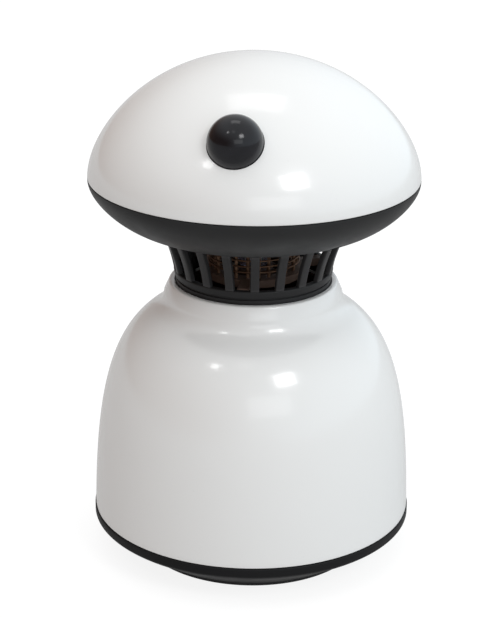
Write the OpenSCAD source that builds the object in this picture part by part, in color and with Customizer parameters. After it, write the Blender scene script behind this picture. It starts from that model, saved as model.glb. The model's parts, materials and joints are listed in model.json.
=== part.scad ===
// Mushroom-shaped insect killer for a table top.
// The origin is on the table under the middle of the foot, +Z is up and the push button faces -Y.
// Sizes are in millimetres.

/* [Cap] */
// Radius of the cap at its rim
cap_r = 75; // [74:0.5:78]
// Height of the cap's rim above the table
rim_z = 180; // [179:0.5:184]
// Height of the dome above the rim
crown_h = 55; // [50:1:60]
// Depth of the dark underside below the rim
under_h = 22.7; // [22.5:0.1:24]

/* [Neck] */
// Outer radius of the neck under the cap
neck_top_r = 43.6; // [43:0.1:44]
// Outer radius of the neck where it meets the body
neck_foot_r = 35.7; // [35.5:0.1:35.7]
// Number of upright slats around the neck
slat_count = 20; // [12:2:24]
// Width of one slat
slat_w = 4; // [3:0.5:5]
// Thickness of one slat, measured towards the middle
slat_t = 2.6; // [2:0.1:2.6]

/* [Body] */
// Height of the body's collar, where the neck stands
collar_z = 130.8; // [130.4:0.1:131]
// Height of the seam between the body and the base dish
seam_z = 20; // [18:0.5:22]
// Wall thickness of the large mouldings
wall = 2.4; // [2:0.1:2.6]
// Number of upright air slots at the back
vent_count = 11; // [5:2:13]

/* [Base] */
// Height of the dish's flat underside above the table
dish_floor_z = 3.2; // [2.5:0.1:4]
// Outer radius of the rubber foot ring
foot_r = 53; // [50:0.2:54]
// Gap at the seam and around the dish's spigot
seam_gap = 0.3; // [0.2:0.05:0.4]

/* [Button] */
// Radius of the domed push button
button_r = 12; // [11:0.5:12.5]
// Place of the button along the dome's curve, from 0 at the rim to 1 at the crown
button_place = 0.445; // [0.4:0.005:0.48]
// Travel of the button
button_travel = 1.5; // [1:0.1:1.5]

/* [Grid and lamp] */
// Number of upright wires in the grid cage, half of them live
rod_count = 24; // [16:2:28]
// Radius of one grid wire
rod_r = 0.8; // [0.6:0.1:0.9]
// Radius of the circle that the live wires stand on
live_r = 18.4; // [18:0.1:18.6]
// Radius of the circle that the earthed wires stand on
ground_r = 19.6; // [19.5:0.1:20]

/* [Fan] */
// Radius over the blade tips
fan_r = 39.3; // [36:0.1:39.5]
// Number of fan blades
blade_count = 7; // [5:1:9]

/* [Hidden] */

$fn = 96;
small_fn = 32;
eps = 0.01;
quarter = [45, 135, 225, 315];

// Colours
white_plastic = [0.90, 0.90, 0.89];
charcoal = [0.20, 0.20, 0.21];
black_plastic = [0.09, 0.09, 0.10];
black_rubber = [0.06, 0.06, 0.06];
bronze = [0.45, 0.29, 0.18];
steel = [0.72, 0.72, 0.74];
board_green = [0.10, 0.32, 0.20];
copper_red = [0.62, 0.34, 0.20];
lamp_clear = [0.72, 0.66, 0.90, 0.5];

// Curves. Each runs from its first point to its last and is cut into n straight steps.
function bez3(p, t) =
    pow(1 - t, 3) * p[0] + 3 * pow(1 - t, 2) * t * p[1] + 3 * (1 - t) * t * t * p[2] + t * t * t * p[3];
function slope3(p, t) =
    pow(1 - t, 2) * (p[1] - p[0]) + 2 * (1 - t) * t * (p[2] - p[1]) + t * t * (p[3] - p[2]);
function unit(v) = v / norm(v);
function left_of(v) = [-v.y, v.x];
// The curve shifted by d to the left of its direction of travel
function curve3(p, n, d = 0) = [for (i = [0 : n]) bez3(p, i / n) + d * left_of(unit(slope3(p, i / n)))];
function back(points) = [for (i = [len(points) - 1 : -1 : 0]) points[i]];
function arc(c, r, a0, a1, n) = [for (i = [0 : n]) let (a = a0 + (a1 - a0) * i / n) c + r * [cos(a), sin(a)]];

// Outlines, as [radius, height]
dome_curve = [[cap_r, rim_z], [cap_r, rim_z + 20], [46.6, rim_z + crown_h], [0, rim_z + crown_h]];
under_z = rim_z - under_h;
under_top = rim_z - seam_gap;
under_curve = [[cap_r, under_top], [cap_r + 0.4, rim_z - 7.3], [cap_r - 15, under_z], [neck_top_r, under_z]];
shoulder = [46.6, 116.7];
body_r = cap_r - 1;
body_curve = [shoulder, [64.4, 104.5], [72.9, 80.1], [body_r, seam_z + seam_gap]];
collar_r = 38.4;
collar_in_r = collar_r - wall;
ledge_z = 128;
ledge_r = 34.2;
fillet_curve = [[41, 125], [41.4, 121.7], [43.2, 119.1], shoulder];
dish_curve = [[cap_r - 0.6, 16.4], [cap_r - 1.1, 14.4], [67.5, 11.6], [56.5, dish_floor_z + 1]];
dish_floor = 2.6;
dish_flat_r = 55.4;
spigot_r = body_r - wall - 2 * seam_gap;
spigot_z = seam_z + 6;

// The neck's outer radius widens with height: a slight lean at its foot, then a growing flare
neck_h = under_z - collar_z;
neck_lean = 0.1;
neck_flare = (neck_top_r - neck_foot_r - neck_lean * neck_h) / (neck_h * neck_h);
function neck_r(z) = neck_foot_r + neck_lean * (z - collar_z) + neck_flare * pow(z - collar_z, 2);
slat_z0 = 137;
slat_z1 = under_z - 2.2;
ring_in_r = 33.6;

// Button axis: z = 0 is on the dome's surface and +z points out of the cap
button_at = bez3(dome_curve, button_place);
button_out = -left_of(unit(slope3(dome_curve, button_place)));
sleeve_r = 16;
switch_board_z = -17;
plunger_z = -12.5;

// Fan
fan_z0 = 88;
fan_z1 = 108;
fan_ring_in = 40.3;
fan_ring_out = 43.3;
fan_bolt_r = 46;

// Cap fixings and board
cap_bolt_r = 58;
cap_joint_z = 169;
cap_head_z = 166;
board_z = 172;
board_t = 1.6;
post_r = 30;
floor_top = under_z + wall;
conduit_x = -30;
screw_r = 1.5;

module ring(r_in, r_out, z0, z1) {
    translate([0, 0, z0])
        difference() {
            cylinder(r = r_out, h = z1 - z0);
            translate([0, 0, -eps]) cylinder(r = r_in, h = z1 - z0 + 2 * eps);
        }
}

module disc(r, z0, z1) {
    translate([0, 0, z0]) cylinder(r = r, h = z1 - z0);
}

module box_between(a, b) {
    translate(a) cube(b - a);
}

// A screw that points up: its head's underside is at z = 0
module screw(head_r, head_h, r, length) {
    difference() {
        union() {
            translate([0, 0, -head_h]) cylinder(r = head_r, h = head_h, $fn = small_fn);
            cylinder(r = r, h = length, $fn = small_fn);
        }
        for (a = [0, 90])
            rotate(a) translate([-head_r * 0.6, -0.35, -head_h - eps]) cube([head_r * 1.2, 0.7, head_h * 0.6]);
    }
}

module at_button() {
    translate([0, -button_at.x, button_at.y]) rotate([atan2(button_out.x, button_out.y), 0, 0]) children();
}

// A round tube swept along a list of points. side is a direction that the path never follows.
function path_dir(p, i) = unit(p[min(i + 1, len(p) - 1)] - p[max(i - 1, 0)]);
function tube_ring(p, i, r, side, n) =
    let (t = path_dir(p, i), u = unit(cross(t, side)), v = cross(t, u))
    [for (k = [0 : n - 1]) p[i] + r * (cos(360 * k / n) * u + sin(360 * k / n) * v)];
module tube(p, r, side, n = 8) {
    last = len(p) - 1;
    points = [for (i = [0 : last]) each tube_ring(p, i, r, side, n)];
    walls = [for (i = [0 : last - 1], k = [0 : n - 1])
        [i * n + k, i * n + (k + 1) % n, (i + 1) * n + (k + 1) % n, (i + 1) * n + k]];
    start = [for (k = [n - 1 : -1 : 0]) k];
    finish = [for (k = [0 : n - 1]) last * n + k];
    polyhedron(points = points, faces = concat(walls, [start, finish]), convexity = 6);
}
// A smooth path through points chosen by hand, with s steps between two of them
function smooth(p, s) = [
    for (i = [0 : len(p) - 2], k = [0 : s - 1])
        let (a = p[max(i - 1, 0)], b = p[i], c = p[i + 1], d = p[min(i + 2, len(p) - 1)], t = k / s)
        0.5 * (2 * b + (c - a) * t + (2 * a - 5 * b + 4 * c - d) * t * t + (3 * b - a - 3 * c + d) * t * t * t),
    p[len(p) - 1]
];

// ---- Base ----

module base_dish() {
    color(charcoal)
    difference() {
        rotate_extrude()
            polygon(concat(
                [[0, dish_floor_z + dish_floor], [0, dish_floor_z], [dish_flat_r, dish_floor_z]],
                back(curve3(dish_curve, 14)),
                [
                    [cap_r - 0.6, seam_z], [spigot_r, seam_z], [spigot_r, spigot_z],
                    [spigot_r - 2, spigot_z], [spigot_r - 2.2, 17]
                ],
                [for (q = curve3(dish_curve, 10, -dish_floor)) if (q.x < spigot_r - 2.4) q],
                [[dish_flat_r - 1.2, dish_floor_z + dish_floor]]
            ));
        // Groove under the dish for the foot ring, and groove around the spigot for the seal
        ring(foot_r - 7.4, foot_r + 0.1, dish_floor_z - eps, dish_floor_z + 1);
        ring(spigot_r - 0.8, spigot_r + eps, seam_z + 2.5, seam_z + 4);
    }
}

module rubber_foot() {
    color(black_rubber)
    rotate_extrude()
        polygon(concat(
            [[foot_r - 7.2, dish_floor_z + 1], [foot_r - 7.2, 0.8], [foot_r - 6.4, 0]],
            arc([foot_r - 1.2, 1.2], 1.2, -90, 0, 5),
            [[foot_r, dish_floor_z + 1]]
        ));
}

module base_seal() {
    color(black_rubber)
    ring(spigot_r - 0.8, spigot_r + 0.1, seam_z + 2.5, seam_z + 4);
}

module catch_tray() {
    tray_z = dish_floor_z + dish_floor + 0.1;
    color(black_plastic)
    union() {
        rotate_extrude()
            polygon([
                [0, tray_z], [51, tray_z], [53, tray_z + 2], [56.6, 32.6], [58.4, 32.6], [58.4, 34],
                [55.2, 34], [51.4, tray_z + 2.4], [50.6, tray_z + 1.6], [0, tray_z + 1.6]
            ]);
        for (a = [90, 270])
            rotate(a) intersection() {
                ring(55.2, 56.8, 33, 41);
                rotate(-7.5) rotate_extrude(angle = 15) translate([50, 0]) square([10, 50]);
            }
    }
}

// ---- Body ----

body_outer = concat(
    arc([collar_r - 1.2, collar_z - 1.2], 1.2, 90, 0, 5),
    curve3(fillet_curve, 6),
    [for (i = [1 : 28]) bez3(body_curve, i / 28)]
);
// The collar's bore ends in a ledge that the neck ring stands on
body_inner = concat(
    [
        [collar_in_r, collar_z], [collar_in_r, ledge_z], [ledge_r, ledge_z], [ledge_r, ledge_z - 1.8],
        [collar_in_r + 1.9, ledge_z - 1.8]
    ],
    curve3(fillet_curve, 6, -wall),
    [for (i = [1 : 28]) curve3(body_curve, 28, -wall)[i]]
);

module body_solid() {
    rotate_extrude() polygon(concat(body_outer, [[0, seam_z + seam_gap], [0, collar_z]]));
}

module body_shell() {
    color(white_plastic)
    difference() {
        union() {
            rotate_extrude() polygon(concat(body_outer, back(body_inner)));
            // Bosses for the fan frame
            intersection() {
                for (a = quarter) rotate(a) translate([fan_bolt_r, 0, fan_z1]) cylinder(r = 4, h = 12, $fn = small_fn);
                body_solid();
            }
            // Ribs under the inlet board
            intersection() {
                for (x = [-6, 4.4]) box_between([x, 60, 28.6], [x + 1.6, 74, 31.2]);
                body_solid();
            }
        }
        for (a = quarter)
            rotate(a) translate([fan_bolt_r, 0, fan_z1 - eps]) cylinder(r = screw_r, h = 4.5, $fn = small_fn);
        // Air slots at the back
        for (i = [0 : vent_count - 1])
            rotate(90 + 6 * (i - (vent_count - 1) / 2)) {
                box_between([60, -1.6, 46], [80, 1.6, 70]);
                for (z = [46, 70]) translate([60, 0, z]) rotate([0, 90, 0]) cylinder(r = 1.6, h = 20, $fn = small_fn);
            }
        // Recess for the power inlet
        box_between([-5.6, 64, 31.3], [5.6, 80, 36.9]);
    }
}

// Insect screen behind the air slots
module exhaust_screen() {
    color(black_plastic)
    rotate(90) {
        for (z = [41 : 3 : 74])
            translate([0, 0, z]) rotate(-38) rotate_extrude(angle = 76) translate([63.6, 0]) square([1.2, 1]);
        for (a = [-38 : 9.5 : 38])
            rotate(a) box_between([63.3, -0.6, 41], [65, 0.6, 75]);
    }
}

module inlet_socket() {
    color(steel)
    difference() {
        translate([0, 62.5, 34.1]) rotate([-90, 0, 0]) linear_extrude(9) square([9.2, 3.4], center = true);
        translate([0, 64.5, 34.1]) rotate([-90, 0, 0]) linear_extrude(9) square([8.4, 2.6], center = true);
    }
    color(black_plastic)
    box_between([-3.2, 64.4, 33.8], [3.2, 70.6, 34.4]);
}

module inlet_board() {
    color(board_green)
    box_between([-7.5, 59.6, 31.2], [7.5, 68.5, 32.4]);
}

supply_route = [
    [-6, 61.5, 33.9], [-20, 59, 36], [-34, 52, 38], [-47.5, 40, 42], [-56.5, 25.5, 50], [-61, 11, 63],
    [-61.5, 1, 76], [-59.5, 0, 88], [-57, 0, 96], [-53, 0, 103], [-46.6, 0, 110], [-40, 0, 112.5], [-33, 0, 115.5],
    [conduit_x, 0, 121], [conduit_x, 0, 135], [conduit_x, 0, 166]
];
supply_lead_r = 1.5;

module supply_lead() {
    color(black_rubber)
    tube(smooth(supply_route, 3), supply_lead_r, [0, 1, 0], 8);
}

module lead_connector() {
    color(white_plastic)
    box_between([conduit_x - 4, -3, 166], [conduit_x + 4, 3, board_z]);
}

// ---- Neck ----

module neck_lower_ring() {
    groove_z0 = collar_z + 1.8;
    groove_z1 = groove_z0 + 0.8;
    edge_r = 0.6;
    color(charcoal)
    rotate_extrude()
        polygon(concat(
            [
                [ring_in_r, ledge_z], [neck_foot_r, ledge_z], [neck_foot_r, groove_z0],
                [neck_foot_r - 0.8, groove_z0], [neck_foot_r - 0.8, groove_z1]
            ],
            arc([neck_r(groove_z1) - edge_r, groove_z1 + edge_r], edge_r, -90, 0, 4),
            arc([neck_r(slat_z0) - edge_r, slat_z0 - edge_r], edge_r, 0, 90, 4),
            [[ring_in_r, slat_z0]]
        ));
}

slat_steps = 8;
function slat_height(i) = slat_z0 + (slat_z1 - slat_z0) * i / slat_steps;
function slat_r(i) = neck_r(slat_height(i)) - 0.1;

module neck_slats() {
    color(charcoal)
    intersection() {
        rotate_extrude()
            polygon(concat(
                [for (i = [0 : slat_steps]) [slat_r(i), slat_height(i)]],
                [for (i = [slat_steps : -1 : 0]) [slat_r(i) - slat_t, slat_height(i)]]
            ));
        for (i = [0 : slat_count - 1])
            rotate(-90 + (i + 0.5) * 360 / slat_count)
                box_between([30, -slat_w / 2, slat_z0], [46, slat_w / 2, slat_z1]);
    }
}

module neck_upper_ring() {
    bead = (under_z - slat_z1) / 2;
    color(charcoal)
    rotate_extrude()
        polygon(concat(
            [[35, under_z], [35, slat_z1]],
            arc([neck_r(slat_z1) - bead + 0.4, slat_z1 + bead], bead, -90, 90, 10)
        ));
}

// Tube that carries the supply lead past the insect chamber
module wiring_conduit() {
    color(charcoal)
    translate([conduit_x, 0, 0])
        difference() {
            union() {
                disc(3, 121, floor_top);
                disc(3.5, floor_top, floor_top + 1.4);
            }
            disc(1.9, 120, floor_top + 2);
        }
}

// ---- Cap ----

module cap_underside() {
    color(charcoal)
    difference() {
        union() {
            rotate_extrude()
                polygon(concat(
                    [[24.4, floor_top], [24.4, under_z]],
                    back(curve3(under_curve, 16)),
                    [for (q = curve3(under_curve, 16, -wall)) if (q.x > neck_top_r - 1) q]
                ));
            // Spigot inside the cap shell
            ring(cap_r - 4.6, cap_r - 2.7, under_top - 5, rim_z + 3.5);
            for (a = quarter) {
                rotate(a) translate([post_r, 0, 0]) disc(3.4, under_z + 1, board_z, $fn = small_fn);
                intersection() {
                    rotate(a) translate([cap_bolt_r, 0, 0]) disc(4.8, 150, cap_joint_z, $fn = small_fn);
                    rotate_extrude() polygon(concat([[0, under_top], [0, under_z]], back(curve3(under_curve, 16))));
                }
            }
        }
        for (a = quarter) {
            rotate(a) translate([post_r, 0, 0]) disc(1.3, floor_top + 4, board_z + 1, $fn = small_fn);
            rotate(a) translate([cap_bolt_r, 0, 0]) {
                disc(screw_r + 0.2, 150, cap_joint_z + 1, $fn = small_fn);
                disc(3.4, 150, cap_head_z, $fn = small_fn);
            }
        }
        translate([conduit_x, 0, 0]) disc(3.1, under_z - 1, floor_top + 1);
    }
}

module cap_cavity() {
    rotate_extrude() polygon(concat(curve3(dome_curve, 32, wall), [[0, rim_z]]));
}

module cap_shell() {
    color(white_plastic)
    difference() {
        union() {
            rotate_extrude() polygon(concat(curve3(dome_curve, 32), back(curve3(dome_curve, 32, wall))));
            // Bosses for the screws that come up through the underside
            intersection() {
                for (a = quarter) rotate(a) translate([cap_bolt_r, 0, 0]) disc(3.6, cap_joint_z, 225, $fn = small_fn);
                union() {
                    disc(cap_r - 5, cap_joint_z, rim_z);
                    rotate_extrude() polygon(concat(curve3(dome_curve, 32, wall / 2), [[0, rim_z]]));
                }
            }
        }
        for (a = quarter)
            rotate(a) translate([cap_bolt_r, 0, 0]) disc(screw_r, cap_joint_z - eps, 178, $fn = small_fn);
        at_button() disc(button_r + 0.3, -12, 12);
    }
}

module cap_screws() {
    color(steel)
    for (a = quarter) rotate(a) translate([cap_bolt_r, 0, cap_head_z]) screw(3, 2, screw_r, 11);
}

// ---- Grid and lamp ----

holder_z0 = 149;
holder_r = 24.2;
spider_z0 = 134;
spider_z1 = 137.4;
wire_z0 = spider_z1 - 1.4;
wire_z1 = holder_z0 + 2;

module wires(first) {
    for (i = [first : 2 : rod_count - 1])
        rotate(i * 360 / rod_count) translate([first == 0 ? live_r : ground_r, 0, 0])
            disc(rod_r, wire_z0, wire_z1, $fn = small_fn);
}

module grid_upper_holder() {
    color(black_plastic)
    difference() {
        union() {
            disc(holder_r, holder_z0, floor_top);
            disc(26.4, floor_top, floor_top + 2);
        }
        disc(9.7, holder_z0 - 1, floor_top + 3);
        wires(0);
        wires(1);
    }
}

module grid_lower_holder() {
    color(black_plastic)
    difference() {
        union() {
            ring(15.6, 22.6, spider_z0, spider_z1);
            for (a = [30, 150, 270]) rotate(a) box_between([22, -2.5, spider_z0], [33.3, 2.5, spider_z1]);
            ring(7, 9.4, spider_z0, spider_z1);
            for (a = [90, 210, 330]) rotate(a) box_between([9, -1.2, spider_z0], [16, 1.2, spider_z1]);
        }
        wires(0);
        wires(1);
    }
}

module live_wires() {
    color(bronze) wires(0);
}

module ground_wires() {
    color(bronze) wires(1);
}

module hoop(r, z) {
    translate([0, 0, z]) rotate_extrude() translate([r, 0]) circle(r = 0.45, $fn = 16);
}

module live_rings() {
    color(bronze)
    for (z = [139.6, 147]) hoop(live_r - rod_r - 0.45, z);
}

module ground_rings() {
    color(bronze)
    for (z = [140.6, 143.3, 146]) hoop(ground_r + rod_r + 0.45, z);
}

module lamp_socket() {
    color(white_plastic)
    difference() {
        disc(9.7, 149.6, floor_top + 1);
        disc(7.3, 149, 153);
    }
}

module lamp_cover() {
    color(lamp_clear)
    rotate_extrude()
        polygon(concat(
            [[7.3, 153], [7.3, 141]],
            arc([1.3, 141], 6, 0, -90, 8),
            [[0, 135], [0, 136]],
            arc([1.3, 141], 5, -90, 0, 8),
            [[6.3, 153]]
        ));
}

module led_board() {
    color(board_green)
    box_between([-4.6, -0.6, 138.5], [4.6, 0.6, 153]);
}

module uv_leds() {
    color(white_plastic)
    for (side = [-1, 1], x = [-2.4, 2.4], z = [141, 145, 149])
        translate([x, side * 1.1, z]) cube([2.8, 1, 2.8], center = true);
}

// ---- Fan ----

module intake_duct() {
    color(black_plastic)
    difference() {
        rotate_extrude()
            polygon([
                [34.4, 126.1], [34.4, 125.2], [40.5, 111], [40.5, fan_z1],
                [41.9, fan_z1], [41.9, 111.3], [35.8, 125.5], [35.8, 126.1]
            ]);
        translate([-46, 0, 110.6]) rotate([0, 72, 0]) cylinder(r = 2.1, h = 14, $fn = small_fn);
    }
}

module fan_frame() {
    color(black_plastic)
    difference() {
        union() {
            ring(fan_ring_in, fan_ring_out, fan_z0, fan_z1);
            for (a = quarter) rotate(a) {
                translate([fan_bolt_r, 0, 0]) disc(4, fan_z1 - 4, fan_z1, $fn = small_fn);
                box_between([fan_ring_in + 1, -4, fan_z1 - 4], [fan_bolt_r, 4, fan_z1]);
            }
            disc(13, fan_z0, fan_z0 + 2.5);
            for (a = [30, 150, 270]) rotate(a) box_between([12, -2.5, fan_z0], [fan_ring_in + 1, 2.5, fan_z0 + 2.5]);
        }
        for (a = quarter)
            rotate(a) translate([fan_bolt_r, 0, 0]) disc(screw_r + 0.2, fan_z1 - 5, fan_z1 + 1, $fn = small_fn);
    }
}

module fan_motor() {
    color(copper_red)
    difference() {
        disc(11.4, fan_z0 + 2.5, 102.5);
        disc(1.05, fan_z0 + 3.5, 103, $fn = small_fn);
        for (a = [0 : 60 : 300]) rotate(a) translate([10.6, 0, 0]) disc(1.6, 92.5, 103, $fn = small_fn);
    }
}

module fan_screws() {
    color(steel)
    for (a = quarter) rotate(a) translate([fan_bolt_r, 0, fan_z1 - 4]) screw(2.6, 2, screw_r, 8);
}

module fan_rotor() {
    color(charcoal)
    union() {
        difference() {
            disc(14, 91.5, 107);
            disc(12.2, 91, 104.5);
        }
        difference() {
            intersection() {
                for (i = [0 : blade_count - 1])
                    rotate(i * 360 / blade_count) translate([13, 0, 99.5]) rotate([38, 0, 0])
                        translate([0, -10, -0.75]) cube([30, 20, 1.5]);
                disc(fan_r, 93, 106);
            }
            disc(13.2, 90, 108);
        }
    }
}

module fan_shaft() {
    color(steel)
    disc(1, 92.5, 104.5, $fn = small_fn);
}

// ---- Control board ----

module control_board() {
    color(board_green)
    difference() {
        disc(40, board_z, board_z + board_t);
        for (a = quarter)
            rotate(a) translate([post_r, 0, 0]) disc(1.5, board_z - 1, board_z + 2, $fn = small_fn);
        disc(1.8, board_z - 1, board_z + 2, $fn = small_fn);
    }
}

module board_screws() {
    color(steel)
    for (a = quarter)
        rotate(a) translate([post_r, 0, board_z + board_t]) rotate([180, 0, 0]) screw(2.6, 1.8, 1.3, 8);
}

board_top = board_z + board_t;

module hv_transformer() {
    color(copper_red)
    union() {
        box_between([8, 2, board_top], [24, 5, board_top + 13]);
        box_between([8, 15, board_top], [24, 18, board_top + 13]);
        translate([16, 5 - eps, board_top + 6.5]) rotate([-90, 0, 0]) cylinder(r = 5.6, h = 10 + 2 * eps, $fn = small_fn);
    }
}

module hv_capacitors() {
    color("orange")
    for (x = [-20, -8]) box_between([x, 8, board_top], [x + 9, 14, board_top + 10]);
    color(steel)
    for (x = [-12, 0]) translate([x, -10, 0]) disc(5, board_top, board_top + 11, $fn = small_fn);
}

module hv_diodes() {
    color(black_plastic)
    for (x = [-15, -10.5, -6, -1.5])
        translate([x, 20, board_top + 1.4]) rotate([-90, 0, 0]) cylinder(r = 1.3, h = 7, $fn = small_fn);
}

module drive_transistor() {
    color(black_plastic)
    box_between([12, -16, board_top], [22, -12, board_top + 9]);
    color(steel)
    box_between([12, -12, board_top], [22, -10.8, board_top + 14]);
}

module grid_leads() {
    color("firebrick")
    for (x = [-13, 13]) translate([x, -14, 0]) disc(1.1, floor_top + 2, board_z, $fn = small_fn);
}

module lamp_leads() {
    color("dimgray")
    for (x = [-3, 3]) translate([x, 0, 0]) disc(0.9, floor_top + 1, board_z, $fn = small_fn);
}

switch_route = [[3, -45, 196], [3, -42, 192], [3, -38, 188], [3, -33, 184], [3, -29, 179], [3, -28, board_top + 0.3]];

module switch_leads() {
    color("dimgray")
    for (x = [0, -6]) tube([for (q = smooth(switch_route, 3)) q + [x, 0, 0]], 0.8, [1, 0, 0], 8);
}

// ---- Button ----

module button_sleeve() {
    color(black_plastic)
    intersection() {
        at_button()
            difference() {
                disc(sleeve_r, switch_board_z, -1);
                disc(button_r + 0.3, switch_board_z - 1, 1);
                disc(14.2, switch_board_z - 1, -5.5);
                for (a = [0, 180]) rotate(a) translate([15.1, 0, 0]) disc(0.5, switch_board_z - 1, -12, $fn = small_fn);
            }
        cap_cavity();
    }
}

module switch_board() {
    color(board_green)
    at_button()
        difference() {
            disc(sleeve_r, switch_board_z - board_t, switch_board_z);
            for (a = [0, 180])
                rotate(a) translate([15.1, 0, 0]) disc(0.5, switch_board_z - 3, switch_board_z + 1, $fn = small_fn);
        }
}

module sleeve_screws() {
    color(steel)
    at_button()
        for (a = [0, 180])
            rotate(a) translate([15.1, 0, switch_board_z - board_t]) screw(0.85, 0.8, 0.5, 5);
}

module power_switch() {
    color(black_plastic)
    at_button()
        difference() {
            box_between([-4, -4, switch_board_z], [4, 4, switch_board_z + 7]);
            // Well for the plunger, deep enough for its travel
            box_between([-1.8, -1.8, plunger_z - button_travel - 1], [1.8, 1.8, switch_board_z + 8]);
        }
}

spring_r = 8;
spring_wire = 0.45;
spring_turns = 5;
spring_z0 = switch_board_z + 0.5;
spring_z1 = -7.2;
spring_steps = 16 * spring_turns;

module button_spring() {
    color(steel)
    at_button()
        tube([for (i = [0 : spring_steps])
            let (a = 360 * i / 16)
            [spring_r * cos(a), spring_r * sin(a), spring_z0 + (spring_z1 - spring_z0) * i / spring_steps]],
            spring_wire, [0, 0, 1], 6);
}

module power_button() {
    color(black_plastic)
    at_button() {
        difference() {
            union() {
                difference() {
                    sphere(r = button_r);
                    disc(button_r + 1, -button_r - 1, 0);
                }
                disc(button_r, -7, eps);
                disc(13.8, -7, -5.8);
            }
            disc(10.4, -8, 0);
            difference() {
                sphere(r = 10.4);
                disc(button_r, -button_r, -eps);
            }
        }
        disc(3, -6.6, 11);
        disc(9.4, -6.6, -5.2);
    }
}

module switch_plunger() {
    color(white_plastic)
    at_button()
        box_between([-1.5, -1.5, plunger_z], [1.5, 1.5, -6.6]);
}

base_dish();
rubber_foot();
base_seal();
catch_tray();
body_shell();
exhaust_screen();
inlet_socket();
inlet_board();
supply_lead();
lead_connector();
neck_lower_ring();
neck_slats();
neck_upper_ring();
wiring_conduit();
cap_underside();
cap_shell();
cap_screws();
grid_upper_holder();
grid_lower_holder();
live_wires();
ground_wires();
live_rings();
ground_rings();
lamp_socket();
lamp_cover();
led_board();
uv_leds();
intake_duct();
fan_frame();
fan_motor();
fan_screws();
fan_rotor();
fan_shaft();
control_board();
board_screws();
hv_transformer();
hv_capacitors();
hv_diodes();
drive_transistor();
grid_leads();
lamp_leads();
switch_leads();
button_sleeve();
switch_board();
sleeve_screws();
power_switch();
button_spring();
power_button();
switch_plunger();
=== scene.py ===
import json
import math
import random

import bmesh
import bpy
from mathutils import Matrix, Vector


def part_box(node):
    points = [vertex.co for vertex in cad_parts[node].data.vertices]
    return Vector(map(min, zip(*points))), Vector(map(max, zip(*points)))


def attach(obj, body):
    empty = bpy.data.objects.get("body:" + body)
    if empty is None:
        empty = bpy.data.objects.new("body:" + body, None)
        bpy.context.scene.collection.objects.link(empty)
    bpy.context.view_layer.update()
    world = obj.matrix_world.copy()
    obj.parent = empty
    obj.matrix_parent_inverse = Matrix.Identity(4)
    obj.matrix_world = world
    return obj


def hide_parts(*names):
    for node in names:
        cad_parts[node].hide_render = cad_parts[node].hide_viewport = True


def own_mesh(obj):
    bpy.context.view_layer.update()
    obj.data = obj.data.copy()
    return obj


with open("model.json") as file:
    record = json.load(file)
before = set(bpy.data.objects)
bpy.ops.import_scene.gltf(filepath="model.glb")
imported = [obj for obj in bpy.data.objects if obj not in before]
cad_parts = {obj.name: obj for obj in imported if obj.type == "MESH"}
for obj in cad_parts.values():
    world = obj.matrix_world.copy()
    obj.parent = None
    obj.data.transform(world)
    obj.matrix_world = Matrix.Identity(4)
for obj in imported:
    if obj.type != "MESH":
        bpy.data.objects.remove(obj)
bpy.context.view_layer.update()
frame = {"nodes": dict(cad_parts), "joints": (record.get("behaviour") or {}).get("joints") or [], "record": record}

MM = 0.001
AROUND = 320      # steps round a large turned piece
FINE_ANGLE = math.radians(34)
QUARTER = (45, 135, 225, 315)


# ---------------------------------------------------------------- sizes, from the frame

def low(node):
    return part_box(node)[0]


def high(node):
    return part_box(node)[1]


CAP_R = high("cap_shell").x
CROWN_Z = high("cap_shell").z
LIP_TOP_Z = high("cap_underside").z
RIM_Z = LIP_TOP_Z - 3.5 * MM
UNDER_Z = low("cap_underside").z
CAP_JOINT_Z = low("cap_shell").z
COLLAR_Z = high("body_shell").z
SEAM_Z = low("body_shell").z - 0.3 * MM      # the body stands this much above the seam
BODY_R = high("body_shell").x
SLAT_Z0 = low("neck_slats").z
SLAT_Z1 = high("neck_slats").z
DISH_FLOOR_Z = low("base_dish").z
FOOT_R = high("rubber_foot").x
WALL = 2.4 * MM
SEAM_GAP = 0.3 * MM
BOARD_TOP_Z = high("control_board").z
BOARD_UNDER_Z = low("control_board").z
NECK_FOOT_R = 35.7 * MM
NECK_TOP_R = 43.6 * MM
NECK_LEAN = 0.1
COLLAR_R = 38.4 * MM
FAN_BOLT_R = 46 * MM
CAP_BOLT_R = 58 * MM
POST_R = 30 * MM
SCREW_R = 1.5 * MM
BLADES = 7
WIRES = 24
SLATS = 20

# The button: its axis is the joint's, and its ball's centre lies on the dome
BUTTON_R = 12 * MM
press = next(j for j in frame["joints"] if j["name"] == "button_press")
BUTTON_OUT = -Vector(press["axis"]).normalized()
BUTTON_AT = Vector((0, low("power_button").y + BUTTON_R, high("power_button").z - BUTTON_R))
BUTTON_FRAME = Matrix.Translation(BUTTON_AT) @ BUTTON_OUT.to_track_quat("Z", "Y").to_matrix().to_4x4()


# ---------------------------------------------------------------- outlines, as (radius, height)

def bezier(p, t):
    a, b, c, d = (Vector(q) for q in p)
    return (1 - t) ** 3 * a + 3 * (1 - t) ** 2 * t * b + 3 * (1 - t) * t * t * c + t ** 3 * d


def heading(p, t):
    a, b, c, d = (Vector(q) for q in p)
    return ((1 - t) ** 2 * (b - a) + 2 * (1 - t) * t * (c - b) + t * t * (d - c)).normalized()


def curve(p, n, shift=0.0, first=0.0, last=1.0):
    """Points along a curve, moved by shift to the left of its direction."""
    out = []
    for i in range(n + 1):
        t = first + (last - first) * i / n
        u = heading(p, t)
        out.append(bezier(p, t) + shift * Vector((-u.y, u.x)))
    return out


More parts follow.
